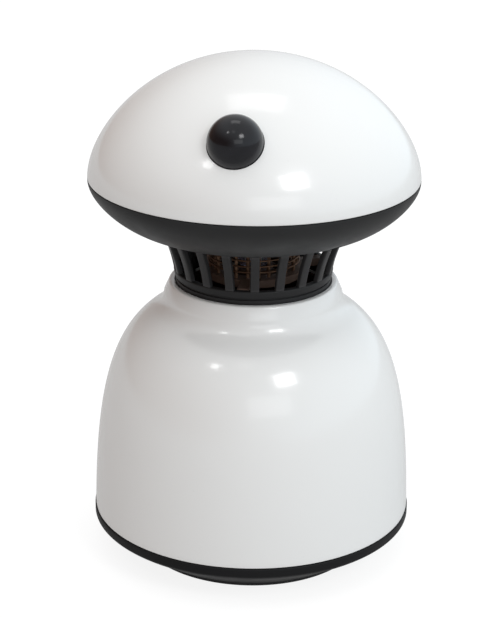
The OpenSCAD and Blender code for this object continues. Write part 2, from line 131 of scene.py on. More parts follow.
def rounded(*items, steps=5):
    """An outline from (r, z) points, (r, z, radius) corners and lists of points."""
    flat = []
    for item in items:
        if isinstance(item, list):
            flat += [(Vector(q[:2]), 0.0) for q in item]
        else:
            flat.append((Vector(item[:2]), item[2] if len(item) > 2 else 0.0))
    out = []
    for i, (p, radius) in enumerate(flat):
        if not radius:
            out.append(p)
            continue
        before = (flat[i - 1][0] - p).normalized()
        after = (flat[(i + 1) % len(flat)][0] - p).normalized()
        half = before.angle(after) / 2
        reach = radius / math.tan(half)
        centre = p + (before + after).normalized() * (radius / math.sin(half))
        a = p + before * reach - centre
        b = p + after * reach - centre
        turn = a.angle_signed(b)
        for k in range(steps + 1):
            out.append(centre + Matrix.Rotation(-turn * k / steps, 2) @ a)
    return out


DOME = [(CAP_R, RIM_Z), (CAP_R, RIM_Z + 20 * MM), (46.6 * MM, CROWN_Z), (0, CROWN_Z)]
UNDER = [(CAP_R, RIM_Z - SEAM_GAP), (CAP_R + 0.4 * MM, RIM_Z - 7.3 * MM), (CAP_R - 15 * MM, UNDER_Z),
         (NECK_TOP_R, UNDER_Z)]
SHOULDER = (46.6 * MM, 116.7 * MM)
FILLET = [(41 * MM, 125 * MM), (41.4 * MM, 121.7 * MM), (43.2 * MM, 119.1 * MM), SHOULDER]
BODY = [SHOULDER, (64.4 * MM, 104.5 * MM), (72.9 * MM, 80.1 * MM), (BODY_R, SEAM_Z + SEAM_GAP)]
DISH = [(CAP_R - 0.6 * MM, 16.4 * MM), (CAP_R - 1.1 * MM, 14.4 * MM), (67.5 * MM, 11.6 * MM),
        (56.5 * MM, DISH_FLOOR_Z + MM)]


def neck_r(z):
    """The neck's outer radius: a slight lean at its foot, then a growing flare."""
    tall = UNDER_Z - COLLAR_Z
    up = z - COLLAR_Z
    flare = (NECK_TOP_R - NECK_FOOT_R - NECK_LEAN * tall) / tall ** 2
    return NECK_FOOT_R + NECK_LEAN * up + flare * up * up


# ---------------------------------------------------------------- mesh helpers

def link(name, mesh):
    obj = bpy.data.objects.new(name, mesh)
    bpy.context.scene.collection.objects.link(obj)
    return obj


def smooth(obj, angle=FINE_ANGLE):
    obj.data.shade_smooth()
    obj.data.set_sharp_from_angle(angle=angle)
    return obj


def from_bmesh(name, bm, angle=FINE_ANGLE):
    bmesh.ops.recalc_face_normals(bm, faces=bm.faces)
    mesh = bpy.data.meshes.new(name)
    bm.to_mesh(mesh)
    bm.free()
    return smooth(link(name, mesh), angle)


def turn_into(bm, outline, around, place=Matrix.Identity(4), closed=True):
    """Adds a turned solid to bm. A point on the axis becomes one vertex."""
    rings = []
    for r, z in outline:
        if r < 1e-6:
            rings.append([bm.verts.new(place @ Vector((0, 0, z)))])
        else:
            steps = (2 * math.pi * k / around for k in range(around))
            rings.append([bm.verts.new(place @ Vector((r * math.cos(a), r * math.sin(a), z))) for a in steps])
    pairs = list(zip(rings, rings[1:]))
    if closed and not (len(rings[0]) == 1 and len(rings[-1]) == 1):
        pairs.append((rings[-1], rings[0]))
    for a, b in pairs:
        for k in range(around):
            j = (k + 1) % around
            if len(a) == 1 and len(b) == 1:
                continue
            if len(a) == 1:
                bm.faces.new((a[0], b[j], b[k]))
            elif len(b) == 1:
                bm.faces.new((a[k], a[j], b[0]))
            else:
                bm.faces.new((a[k], a[j], b[j], b[k]))


def turned(name, outline, around=AROUND, place=Matrix.Identity(4)):
    bm = bmesh.new()
    turn_into(bm, outline, around, place)
    return from_bmesh(name, bm)


def box_into(bm, lo, hi, place=Matrix.Identity(4), bevel=0.0, segments=2):
    """Adds a box with rounded edges to bm."""
    lo, hi = Vector(lo), Vector(hi)
    size = hi - lo
    shape = place @ Matrix.Translation((lo + hi) / 2) @ Matrix.Diagonal((*size, 1))
    made = bmesh.ops.create_cube(bm, size=1.0, matrix=shape)
    if bevel:
        edges = {e for v in made["verts"] for e in v.link_edges}
        bmesh.ops.bevel(bm, geom=list(edges), offset=bevel, segments=segments, affect="EDGES", profile=0.5)


def boolean(obj, tool, operation):
    """Cuts tool out of obj, or joins it on, and applies the result."""
    mod = obj.modifiers.new(operation, "BOOLEAN")
    mod.object = tool
    mod.operation = operation
    mod.solver = "EXACT"
    bpy.context.view_layer.update()
    done = bpy.data.meshes.new_from_object(obj.evaluated_get(bpy.context.evaluated_depsgraph_get()))
    obj.modifiers.clear()
    obj.data = done
    bpy.data.objects.remove(tool)
    return smooth(obj)


def trimmed(tool, outline):
    """Trims a tool to the turned solid of an outline, so that what it adds ends inside a wall."""
    return boolean(tool, turned("middle_of_wall", outline, 96), "INTERSECT")


def spin(degrees):
    return Matrix.Rotation(math.radians(degrees), 4, "Z")


def cylinder_into(bm, r, z0, z1, around, place=Matrix.Identity(4)):
    """Adds an upright cylinder to bm."""
    turn_into(bm, ((0, z0), (r, z0), (r, z1), (0, z1)), around, place)


def rods(name, spots, r, z0, z1, around=24):
    """Upright round rods, as a tool for cutting or joining."""
    bm = bmesh.new()
    for x, y in spots:
        cylinder_into(bm, r, z0, z1, around, Matrix.Translation((x, y, 0)))
    return from_bmesh(name, bm)


def spots_at(radius, degrees):
    return [(radius * math.cos(math.radians(a)), radius * math.sin(math.radians(a))) for a in degrees]


# ---------------------------------------------------------------- materials

class Shader:
    """One Principled material and short ways to add nodes to it."""

    def __init__(self, name):
        self.material = bpy.data.materials.new(name)
        self.material.use_nodes = True
        self.tree = self.material.node_tree
        self.main = self.tree.nodes["Principled BSDF"]
        self.where = self.tree.nodes.new("ShaderNodeTexCoord").outputs["Object"]

    def set(self, **values):
        for key, value in values.items():
            self.main.inputs[key.replace("_", " ")].default_value = value

    def node(self, kind, **settings):
        n = self.tree.nodes.new(kind)
        for key, value in settings.items():
            setattr(n, key, value)
        return n

    def join(self, source, target):
        self.tree.links.new(source, target)

    def noise(self, scale, detail=4.0, roughness=0.55, stretch=None):
        n = self.node("ShaderNodeTexNoise")
        n.inputs["Scale"].default_value = scale
        n.inputs["Detail"].default_value = detail
        n.inputs["Roughness"].default_value = roughness
        source = self.where
        if stretch:
            m = self.node("ShaderNodeMapping")
            m.inputs["Scale"].default_value = stretch
            self.join(source, m.inputs["Vector"])
            source = m.outputs["Vector"]
        self.join(source, n.inputs["Vector"])
        return n.outputs["Fac"]

    def ramp(self, source, low_value, high_value, start=0.3, end=0.7):
        """source from start to end becomes low_value to high_value."""
        n = self.node("ShaderNodeMapRange")
        limits = {"From Min": start, "From Max": end, "To Min": low_value, "To Max": high_value}
        for key, value in limits.items():
            n.inputs[key].default_value = value
        self.join(source, n.inputs["Value"])
        return n.outputs["Result"]

    def mix(self, factor, a, b):
        """Colour a where factor is 0 and b where it is 1. Each is a colour or a socket."""
        n = self.node("ShaderNodeMix", data_type="RGBA")
        self.join(factor, n.inputs["Factor"])
        for value, socket in ((a, n.inputs[6]), (b, n.inputs[7])):
            if isinstance(value, tuple):
                socket.default_value = (*value, 1)
            else:
                self.join(value, socket)
        return n.outputs[2]

    def edges(self, start=0.53, end=0.60):
        """1 on outer edges that get rubbed, 0 elsewhere."""
        geometry = self.node("ShaderNodeNewGeometry")
        return self.ramp(geometry.outputs["Pointiness"], 0, 1, start, end)

    def bump(self, source, depth, strength=1.0, before=None):
        n = self.node("ShaderNodeBump")
        n.inputs["Distance"].default_value = depth
        n.inputs["Strength"].default_value = strength
        self.join(source, n.inputs["Height"])
        if before:
            self.join(before, n.inputs["Normal"])
        return n.outputs["Normal"]

    def colour(self, socket):
        self.join(socket, self.main.inputs["Base Color"])

    def roughness(self, socket):
        self.join(socket, self.main.inputs["Roughness"])

    def normal(self, socket):
        self.join(socket, self.main.inputs["Normal"])


def tint(colour, factor):
    """A colour made darker or lighter."""
    return tuple(min(c * factor, 1) for c in colour)


def gloss_white(name="gloss_white"):
    """Polished white ABS: even, faintly uneven in tone, with a soft orange peel and light handling marks."""
    s = Shader(name)
    s.set(IOR=1.5, Coat_Weight=0.35, Coat_Roughness=0.06, Specular_IOR_Level=0.5)
    white = (0.73, 0.73, 0.72)
    broad = s.ramp(s.noise(9, 3), 0, 1)
    cloud = s.mix(broad, tint(white, 0.985), tint(white, 1.01))
    flecks = s.ramp(s.noise(900, 2), 0, 1, 0.70, 0.78)
    speck = s.mix(flecks, cloud, tint(white, 0.955))
    s.colour(s.mix(s.edges(0.56, 0.66), speck, tint(white, 1.04)))
    smear = s.ramp(s.noise(38, 5, 0.6, (1, 1, 2.2)), 0.15, 0.24)
    s.roughness(smear)
    peel = s.bump(s.noise(330, 2), 0.00002, 0.35)
    s.normal(s.bump(s.noise(1500, 3), 0.000004, 0.4, peel))
    return s.material


def satin(name, colour, rough, grain, depth, wear, coat=0.0, spec=0.5):
    """Moulded satin plastic with a fine spark-eroded grain, tone variation and rubbed edges."""
    s = Shader(name)
    s.set(IOR=1.48, Specular_IOR_Level=spec, Coat_Weight=coat, Coat_Roughness=0.2)
    broad = s.ramp(s.noise(16, 4), 0, 1)
    cloud = s.mix(broad, tint(colour, 0.86), tint(colour, 1.14))
    dust = s.ramp(s.noise(140, 6, 0.7), 0, 1, 0.60, 0.80)
    dusty = s.mix(dust, cloud, tint(colour, 1.35))
    s.colour(s.mix(s.edges(), dusty, tint(colour, wear)))
    s.roughness(s.ramp(s.noise(70, 5), rough - 0.06, rough + 0.07))
    coarse = s.bump(s.noise(grain * 0.3, 2), depth * 2, 0.25)
    s.normal(s.bump(s.noise(grain, 3, 0.6), depth, 0.8, coarse))
    return s.material


def smoked_gloss(name="smoked_gloss"):
    """Deep black polished button with faint swirl marks."""
    s = Shader(name)
    s.set(IOR=1.5, Specular_IOR_Level=0.3)
    tone = s.ramp(s.noise(120, 4), 0, 1)
    s.colour(s.mix(tone, (0.0045, 0.0045, 0.006), (0.009, 0.009, 0.012)))
    s.roughness(s.ramp(s.noise(420, 6, 0.7, (1, 3, 1)), 0.08, 0.2))
    s.normal(s.bump(s.noise(700, 3), 0.000006, 0.3))
    return s.material


def rubber(name, colour, rough=0.75, grain=1800):
    """Soft rubber or cable cover with a paler bloom in patches."""
    s = Shader(name)
    s.set(IOR=1.5, Specular_IOR_Level=0.35)
    cloud = s.mix(s.ramp(s.noise(40, 5), 0, 1), tint(colour, 0.8), tint(colour, 1.25))
    bloom = s.ramp(s.noise(260, 6, 0.7), 0, 1, 0.58, 0.75)
    s.colour(s.mix(bloom, cloud, tint(colour, 1.9)))
    s.roughness(s.ramp(s.noise(90, 4), rough - 0.08, rough + 0.08))
    s.normal(s.bump(s.noise(grain, 4), 0.00003, 0.7))
    return s.material


def metal(name, colour, rough, stretch, tarnish):
    """Plated or brushed metal with drawn streaks and darker tarnish."""
    s = Shader(name)
    s.set(Metallic=1.0)
    streak = s.ramp(s.noise(900, 4, 0.6, stretch), 0, 1)
    base = s.mix(streak, tint(colour, 0.85), tint(colour, 1.1))
    spots = s.ramp(s.noise(220, 6, 0.65), 0, 1, 0.55, 0.72)
    worn = s.mix(spots, base, tarnish)
    s.colour(s.mix(s.edges(), worn, tint(colour, 1.3)))
    s.roughness(s.ramp(s.noise(500, 4, 0.6, stretch), rough - 0.08, rough + 0.12))
    s.normal(s.bump(s.noise(1400, 3, 0.5, stretch), 0.000008, 0.6))
    return s.material


def circuit(name="solder_mask"):
    """Green solder mask with a paler track pattern and slight sheen."""
    s = Shader(name)
    s.set(IOR=1.5, Coat_Weight=0.3, Coat_Roughness=0.15)
    cells = s.node("ShaderNodeTexVoronoi", feature="DISTANCE_TO_EDGE")
    cells.inputs["Scale"].default_value = 230
    s.join(s.where, cells.inputs["Vector"])
    tracks = s.ramp(cells.outputs["Distance"], 1, 0, 0.03, 0.07)
    mask = s.mix(s.ramp(s.noise(60, 3), 0, 1), (0.012, 0.085, 0.040), (0.018, 0.115, 0.052))
    s.colour(s.mix(tracks, mask, (0.035, 0.19, 0.085)))
    s.roughness(s.ramp(s.noise(200, 3), 0.32, 0.45))
    s.normal(s.bump(tracks, 0.00003, 0.5))
    return s.material


def winding(name="enamelled_copper"):
    """Wound enamelled wire: fine ridges, and a copper colour with painted shade between the turns."""
    s = Shader(name)
    s.set(Metallic=0.85, Coat_Weight=0.5, Coat_Roughness=0.1)
    wave = s.node("ShaderNodeTexWave", bands_direction="Z")
    wave.inputs["Scale"].default_value = 600
    wave.inputs["Distortion"].default_value = 0.6
    s.join(s.where, wave.inputs["Vector"])
    turns = wave.outputs["Fac"]
    # painted shade: the colour darkens in the grooves between turns and is painted lighter on each turn's crown
    s.colour(s.mix(turns, (0.20, 0.065, 0.022), (0.50, 0.20, 0.085)))
    s.roughness(s.ramp(s.noise(300, 3), 0.28, 0.42))
    s.normal(s.bump(turns, 0.00012, 0.8))
    return s.material


def clear_tube(name="lamp_tube"):
    """Thin clear tube with a faint violet body colour and hazy patches."""
    s = Shader(name)
    s.set(IOR=1.47, Transmission_Weight=0.92, Specular_IOR_Level=0.5)
    s.colour(s.mix(s.ramp(s.noise(60, 3), 0, 1), (0.80, 0.76, 0.93), (0.90, 0.88, 0.97)))
    s.roughness(s.ramp(s.noise(150, 5), 0.05, 0.16))
    s.normal(s.bump(s.noise(500, 2), 0.00001, 0.3))
    return s.material


WHITE = gloss_white()
CHARCOAL = satin("charcoal_satin", (0.018, 0.018, 0.0185), 0.46, 2400, 0.000012, 1.9, spec=0.2)
SLAT = satin("slat_satin", (0.024, 0.0235, 0.024), 0.42, 2400, 0.00001, 2.0, spec=0.25)
DISH_BLACK = satin("dish_satin", (0.009, 0.009, 0.0095), 0.5, 2600, 0.00001, 2.2, spec=0.12)
BROWN = satin("smoked_brown", (0.085, 0.056, 0.043), 0.5, 2000, 0.000014, 1.5, spec=0.3)
MATT_BLACK = satin("matt_black", (0.010, 0.010, 0.011), 0.58, 2000, 0.000016, 2.0, spec=0.35)
NYLON = satin("natural_nylon", (0.60, 0.585, 0.53), 0.45, 1800, 0.00001, 1.1)
LED_WHITE = satin("led_package", (0.72, 0.71, 0.62), 0.35, 2500, 0.000006, 1.1)
FILM_CAP = satin("dipped_film", (0.42, 0.12, 0.02), 0.28, 700, 0.00003, 1.2, coat=0.5)
BLACK_GLOSS = smoked_gloss()
RUBBER = rubber("foot_rubber", (0.010, 0.010, 0.0105))
CABLE = rubber("cable_rubber", (0.018, 0.018, 0.019), 0.55, 900)
RED_LEAD = rubber("red_lead", (0.40, 0.022, 0.014), 0.42, 900)
BRONZE = metal("bronze_wire", (0.19, 0.115, 0.075), 0.5, (1, 1, 0.08), (0.16, 0.075, 0.035))
STEEL = metal("plated_steel", (0.60, 0.60, 0.61), 0.3, (0.2, 1, 1), (0.34, 0.33, 0.32))
MASK = circuit()
COPPER = winding()
TUBE = clear_tube()

BY_SLOT = {
    "white_plastic": WHITE, "charcoal_plastic": CHARCOAL, "black_plastic": MATT_BLACK,
    "button_gloss": BLACK_GLOSS, "black_rubber": RUBBER, "cable_rubber": CABLE, "lead_red": RED_LEAD,
    "connector_plastic": NYLON, "steel": STEEL, "bronze_wire": BRONZE, "copper_winding": COPPER,
    "circuit_board": MASK, "capacitor_film": FILM_CAP, "lamp_clear": TUBE, "led_phosphor": LED_WHITE,
}
SLOT_OF = {part["node"]: part["material_slot"] for part in frame["record"]["subparts"]}
BODY_OF = {node: body for body, nodes in frame["record"]["behaviour"]["bodies"].items() for node in nodes}


def paint(obj, material):
    obj.data.materials.clear()
    obj.data.materials.append(material)


def stand_for(obj, node, material=None):
    """obj takes the place of a CAD node, on its body and with its slot."""
    paint(obj, material or BY_SLOT[SLOT_OF[node]])
    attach(obj, BODY_OF[node])
    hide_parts(node)
    return obj


def add_on(obj, body, slot, material=None):
    """obj is a small detail that no CAD node stands for."""
    paint(obj, material or BY_SLOT[slot])
    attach(obj, body)
    return obj


# ---------------------------------------------------------------- base

def make_base_dish():
    """Shallow dish with a groove for the foot below and a spigot with a seal groove above."""
    floor = 2.6 * MM
    flat_r = 55.4 * MM
    groove_in, groove_out = FOOT_R - 7.4 * MM, FOOT_R + 0.1 * MM
    groove_z = DISH_FLOOR_Z + MM
    spigot = high("base_seal").x - 0.1 * MM
    seal_in = spigot - 0.8 * MM
    seal_z0, seal_z1 = SEAM_Z + 2.5 * MM, SEAM_Z + 4 * MM
    lip = SEAM_Z + 6 * MM
    inner = [q for q in curve(DISH, 30, -floor) if q.x < spigot - 2.4 * MM]
    outline = rounded(
        (0, DISH_FLOOR_Z + floor), (0, DISH_FLOOR_Z),
        (groove_in, DISH_FLOOR_Z), (groove_in, groove_z), (groove_out, groove_z), (groove_out, DISH_FLOOR_Z),
        (flat_r, DISH_FLOOR_Z, 0.3 * MM), list(reversed(curve(DISH, 36))),
        (CAP_R - 0.6 * MM, SEAM_Z, 0.5 * MM), (spigot, SEAM_Z),
        (spigot, seal_z0), (seal_in, seal_z0), (seal_in, seal_z1), (spigot, seal_z1),
        (spigot, lip, 0.6 * MM), (spigot - 2 * MM, lip, 0.6 * MM), (spigot - 2.2 * MM, 17 * MM),
        inner, (flat_r - 1.2 * MM, DISH_FLOOR_Z + floor),
    )
    stand_for(turned("base_dish_skin", outline), "base_dish", DISH_BLACK)


def make_foot():
    """Foot ring with two shallow grooves in its underside."""
    top = DISH_FLOOR_Z + MM
    r = FOOT_R
    groove_top = 0.7 * MM
    outline = rounded(
        (r - 7.2 * MM, top), (r - 7.2 * MM, 0, 0.8 * MM), (r - 5.4 * MM, 0, 0.2 * MM),
        (r - 5.0 * MM, groove_top, 0.2 * MM), (r - 4.4 * MM, groove_top, 0.2 * MM), (r - 4.0 * MM, 0, 0.2 * MM),
        (r - 3.0 * MM, 0, 0.2 * MM), (r - 2.6 * MM, groove_top, 0.2 * MM), (r - 2.0 * MM, groove_top, 0.2 * MM),
        (r - 1.6 * MM, 0, 0.1 * MM), (r, 0, 1.2 * MM), (r, top),
    )
    stand_for(turned("foot_ring", outline), "rubber_foot")


def make_tray():
    """Round tray with a turned-out rim and two finger tabs."""
    z = low("catch_tray").z
    top = 34 * MM
    rim_under = 32.6 * MM
    outline = rounded(
        (0, z), (51 * MM, z, 1.5 * MM), (53 * MM, z + 2 * MM, 1.5 * MM), (56.6 * MM, rim_under, 0.4 * MM),
        (58.4 * MM, rim_under, 0.5 * MM), (58.4 * MM, top, 0.5 * MM), (55.2 * MM, top, 0.6 * MM),
        (51.4 * MM, z + 2.4 * MM, 1.5 * MM), (50.6 * MM, z + 1.6 * MM, 1.0 * MM), (0, z + 1.6 * MM),
    )
    tray = turned("tray_bowl", outline, 256)
    bm = bmesh.new()
    for side in (90, 270):
        thumb_tab(bm, side, 55.2 * MM, 56.8 * MM, 33 * MM, high("catch_tray").z)
    boolean(tray, from_bmesh("tabs", bm), "UNION")
    stand_for(tray, "catch_tray")


def thumb_tab(bm, side, r0, r1, z0, z1):
    """A curved finger tab that stands on a rim. Its top falls off towards both ends."""
    steps = 14
    spread = 7.5      # degrees to each side of the middle
    level = 0.4       # share of each side where the top stays level
    rows = []
    for k in range(steps + 1):
        a = math.radians(side - spread + 2 * spread * k / steps)
        edge = abs(2 * k / steps - 1)
        drop = max(0, edge - level) ** 2 / (1 - level) ** 2
        top = z1 - (z1 - z0) * 0.5 * drop
        c, s = math.cos(a), math.sin(a)
        section = ((r0, z0), (r1, z0), (r1, top), (r0, top))
        rows.append([bm.verts.new((r * c, r * s, z)) for r, z in section])
    for a, b in zip(rows, rows[1:]):
        for i in range(4):
            j = (i + 1) % 4
            bm.faces.new((a[i], a[j], b[j], b[i]))
    bm.faces.new(rows[0])
    bm.faces.new(rows[-1])


# ---------------------------------------------------------------- body

def make_body():
    """White bell with its collar, a ledge for the neck ring, and the openings at its back."""
    bore = COLLAR_R - WALL
    ledge_r = 34.2 * MM
    ledge_z = 128 * MM
    ledge_under = ledge_z - 1.8 * MM
    foot = SEAM_Z + SEAM_GAP
    outer = curve(FILLET, 14)[:-1] + curve(BODY, 70)[:-1]
    inner = curve(FILLET, 14, -WALL)[:-1] + curve(BODY, 70, -WALL)[:-1]
    outline = rounded(
        (COLLAR_R, COLLAR_Z, 1.2 * MM), outer, (BODY_R, foot, 0.35 * MM), (BODY_R - WALL, foot, 0.3 * MM),
        list(reversed(inner)), (bore + 1.9 * MM, ledge_under), (ledge_r, ledge_under, 0.3 * MM),
        (ledge_r, ledge_z, 0.3 * MM), (bore, ledge_z), (bore, COLLAR_Z, 0.3 * MM),
    )
    shell = turned("body_bell", outline)
    boolean(shell, fan_bosses(), "UNION")
    boolean(shell, board_ribs(), "UNION")
    pilots = rods("pilots", spots_at(FAN_BOLT_R, QUARTER), SCREW_R, 105 * MM, 112.5 * MM)
    boolean(shell, pilots, "DIFFERENCE")
    boolean(shell, back_openings(), "DIFFERENCE")
    stand_for(shell, "body_shell")


def fan_bosses():
    """Four bosses that the fan frame is screwed to. They end inside the shoulder's wall."""
    z0 = low("fan_frame").z + 20 * MM
    bosses = rods("bosses", spots_at(FAN_BOLT_R, QUARTER), 4 * MM, z0, 125 * MM)
    middle = curve(FILLET, 14, -WALL / 2)[:-1] + curve(BODY, 40, -WALL / 2, last=0.6)
    return trimmed(bosses, [Vector((0, middle[0].y)), *middle, Vector((0, middle[-1].y))])


def board_ribs():
    """Two ribs that carry the inlet board."""
    bm = bmesh.new()
    for x in (-6 * MM, 4.4 * MM):
        box_into(bm, (x, 60 * MM, 28.6 * MM), (x + 1.6 * MM, 72 * MM, 31.2 * MM))
    return from_bmesh("ribs", bm)


def back_openings():
    """Cutters for the eleven air slots and the power inlet's recess."""
    bm = bmesh.new()
    for k in range(-5, 6):
        stadium_into(bm, 90 + 6 * k, 46 * MM, 70 * MM, 1.6 * MM)
    lo = (-5.6 * MM, 64 * MM, 31.3 * MM)
    hi = (5.6 * MM, 80 * MM, 36.9 * MM)
    box_into(bm, lo, hi, bevel=1.2 * MM, segments=4)
    return from_bmesh("slots", bm)


def stadium_into(bm, degrees, z0, z1, half):
    """A round-ended upright slot cutter that points outward at an angle."""
    steps = 8
    place = spin(degrees)
    loops = []
    for reach in (58 * MM, 82 * MM):
        loop = []
        for end, start in ((z1, 0), (z0, 180)):
            for k in range(steps + 1):
                a = math.radians(start + 180 * k / steps)
                loop.append((half * math.cos(a), end + half * math.sin(a)))
        loops.append([bm.verts.new(place @ Vector((reach, y, z))) for y, z in loop])
    a, b = loops
    for k in range(len(a)):
        j = (k + 1) % len(a)
        bm.faces.new((a[k], a[j], b[j], b[k]))
    bm.faces.new(a)
    bm.faces.new(b)


# ---------------------------------------------------------------- neck

def make_neck():
    """Ring at the foot of the slats with its groove, the bead above them, and the slats."""
    inner = 33.6 * MM
    r = NECK_FOOT_R
    foot = low("neck_lower_ring").z
    groove = COLLAR_Z + 1.8 * MM
    groove_top = groove + 0.8 * MM
    outline = rounded(
        (inner, foot, 0.4 * MM), (r, foot, 0.3 * MM), (r, groove, 0.25 * MM), (r - 0.8 * MM, groove, 0.1 * MM),
        (r - 0.8 * MM, groove_top, 0.1 * MM), (neck_r(groove_top), groove_top, 0.6 * MM),
        (neck_r(SLAT_Z0), SLAT_Z0, 0.6 * MM), (inner, SLAT_Z0, 0.5 * MM),
    )
    stand_for(turned("lower_neck_ring", outline), "neck_lower_ring")
    bead = (UNDER_Z - SLAT_Z1) / 2
    r = high("neck_upper_ring").x - bead
    arc = [Vector((r + bead * math.cos(a), SLAT_Z1 + bead * (1 + math.sin(a))))
           for a in (math.pi * (k / 16 - 0.5) for k in range(17))]
    inner = 35 * MM
    outline = rounded((inner, UNDER_Z), (inner, SLAT_Z1, 0.5 * MM), arc)
    stand_for(turned("upper_neck_bead", outline), "neck_upper_ring", SLAT)
    make_slats()


def make_slats():
    """Slats that flare out towards the top, with rounded long edges."""
    thick = 2.6 * MM
    half = 2 * MM
    inset = 0.1 * MM
    steps = 12
    bm = bmesh.new()
    for i in range(SLATS):
        place = spin(-90 + (i + 0.5) * 360 / SLATS)
        rows = []
        for k in range(steps + 1):
            z = SLAT_Z0 + (SLAT_Z1 - SLAT_Z0) * k / steps
            section = slat_section(neck_r(z) - inset, thick, half)
            rows.append([bm.verts.new(place @ Vector((x, y, z))) for x, y in section])
        around = len(rows[0])
        for a, b in zip(rows, rows[1:]):
            for k in range(around):
                j = (k + 1) % around
                bm.faces.new((a[k], a[j], b[j], b[k]))
        bm.faces.new(rows[0])
        bm.faces.new(rows[-1])
    stand_for(from_bmesh("slats", bm, math.radians(40)), "neck_slats", SLAT)


def slat_section(r, thick, half):
    """Outline of one slat seen from above: round corners outside, small ones inside."""
    out = math.sqrt(r * r - half * half)
    points = []
    for side, x, corner, start in ((-1, out, 0.6 * MM, -90), (1, out, 0.6 * MM, 0),
                                   (1, r - thick, 0.3 * MM, 90), (-1, r - thick, 0.3 * MM, 180)):
        inward = -1 if x == out else 1
        for k in range(5):
            a = math.radians(start + 90 * k / 4)
            points.append((x + inward * corner + corner * math.cos(a),
                           side * (half - corner) + corner * math.sin(a)))
        if start == -90:
            points.append((r, 0))
    return points


def radial_reach(node):
    """The greatest distance of a CAD node's points from the axis."""
    return max(v.co.xy.length for v in frame["nodes"][node].data.vertices)


# ---------------------------------------------------------------- cap

def make_cap():
    """White dome with four screw bosses inside and the hole for the button."""
    outline = rounded(
        (CAP_R, RIM_Z, 0.5 * MM), curve(DOME, 110, first=0.02)[:-1], (0, CROWN_Z), (0, CROWN_Z - WALL),
        list(reversed(curve(DOME, 90, WALL, first=0.02)[:-1])), (CAP_R - WALL, RIM_Z, 0.4 * MM),
    )
    shell = turned("cap_dome", outline)
    bosses = rods("cap_bosses", spots_at(CAP_BOLT_R, QUARTER), 3.6 * MM, CAP_JOINT_Z, CROWN_Z)
    inside_r = CAP_R - 5 * MM
    below = CAP_JOINT_Z - MM
    under_rim = [Vector((0, below)), Vector((inside_r, below)), Vector((inside_r, RIM_Z))]
    boolean(shell, trimmed(bosses, under_rim + curve(DOME, 48, WALL / 2)), "UNION")
    pilots = rods("cap_pilots", spots_at(CAP_BOLT_R, QUARTER), SCREW_R, 160 * MM, 178 * MM)
    boolean(shell, pilots, "DIFFERENCE")
    bm = bmesh.new()
    cylinder_into(bm, BUTTON_R + 0.3 * MM, -14 * MM, 14 * MM, 128, BUTTON_FRAME)
    boolean(shell, from_bmesh("button_hole", bm), "DIFFERENCE")
    stand_for(shell, "cap_shell")


def make_underside():
    """Bowl under the cap, with a spigot for the dome, four screw bosses and four posts for the board."""
    inner_r = 24.4 * MM
    floor_top = UNDER_Z + WALL
    spigot_foot = RIM_Z - 5.3 * MM
    inner = [q for q in curve(UNDER, 60, -WALL) if q.x > NECK_TOP_R - MM and q.y < spigot_foot]
    lip_out = CAP_R - 2.7 * MM
    lip_in = CAP_R - 4.6 * MM
    outline = rounded(
        (inner_r, floor_top, 0.3 * MM), (inner_r, UNDER_Z, 0.3 * MM),
        list(reversed(curve(UNDER, 70, last=0.995))),
        (lip_out, RIM_Z - SEAM_GAP), (lip_out, LIP_TOP_Z, 0.4 * MM), (lip_in, LIP_TOP_Z, 0.4 * MM),
        (lip_in, spigot_foot), inner,
    )
    bowl = turned("cap_bowl", outline)
    middle = curve(UNDER, 48, -WALL / 2)
    middle = [Vector((0, middle[0].y)), *middle, Vector((0, middle[-1].y))]
    bosses = rods("bowl_bosses", spots_at(CAP_BOLT_R, QUARTER), 4.8 * MM, 150 * MM, CAP_JOINT_Z, 32)
    boolean(bowl, trimmed(bosses, middle), "UNION")
    posts = rods("posts", spots_at(POST_R, QUARTER), 3.4 * MM, 158 * MM, BOARD_UNDER_Z, 32)
    boolean(bowl, posts, "UNION")
    boolean(bowl, underside_holes(), "DIFFERENCE")
    stand_for(bowl, "cap_underside")


def underside_holes():
    """Cutters for the stepped screw holes, the posts' pilot holes and the wiring conduit."""
    below = 150 * MM
    head_r = 3.4 * MM
    head_z = 166 * MM
    shank_r = SCREW_R + 0.2 * MM
    above = CAP_JOINT_Z + MM
    recess = ((0, below), (head_r, below), (head_r, head_z), (shank_r, head_z), (shank_r, above), (0, above))
    bm = bmesh.new()
    for x, y in spots_at(CAP_BOLT_R, QUARTER):
        turn_into(bm, recess, 40, Matrix.Translation((x, y, 0)))
    for x, y in spots_at(POST_R, QUARTER):
        cylinder_into(bm, 1.3 * MM, 163 * MM, 175 * MM, 24, Matrix.Translation((x, y, 0)))
    conduit_x = (low("wiring_conduit").x + high("wiring_conduit").x) / 2
    cylinder_into(bm, 3.1 * MM, below, 165 * MM, 40, Matrix.Translation((conduit_x, 0, 0)))
    return from_bmesh("recesses", bm)


def make_button():
    """Polished half ball on a skirt with a retaining flange, open below, with its middle post."""
    r = BUTTON_R
    hollow_r = 10.4 * MM
    flange_r = 13.8 * MM
    plate_r = 9.4 * MM
    post_r = 3 * MM
    foot = -7 * MM
    flange_top = -5.8 * MM
    plate_foot = -6.6 * MM
    plate_top = -5.2 * MM
    ball = [Vector((r * math.cos(a), r * math.sin(a))) for a in (math.pi / 2 * k / 40 for k in range(40))]
    hollow = [Vector((hollow_r * math.cos(a), hollow_r * math.sin(a)))
              for a in (math.pi / 2 * k / 30 for k in range(23))]
    post_top = math.sqrt(hollow_r ** 2 - post_r ** 2)
    outline = rounded(
        (0, plate_foot), (plate_r, plate_foot, 0.2 * MM), (plate_r, plate_top, 0.2 * MM), (post_r, plate_top),
        (post_r, post_top), list(reversed([q for q in hollow if q.x > 3.4 * MM])),
        (hollow_r, foot, 0.2 * MM), (flange_r, foot, 0.2 * MM), (flange_r, flange_top, 0.2 * MM),
        (r, flange_top), ball, (0, r),
    )
    stand_for(turned("button_ball", outline, 160, BUTTON_FRAME), "power_button")


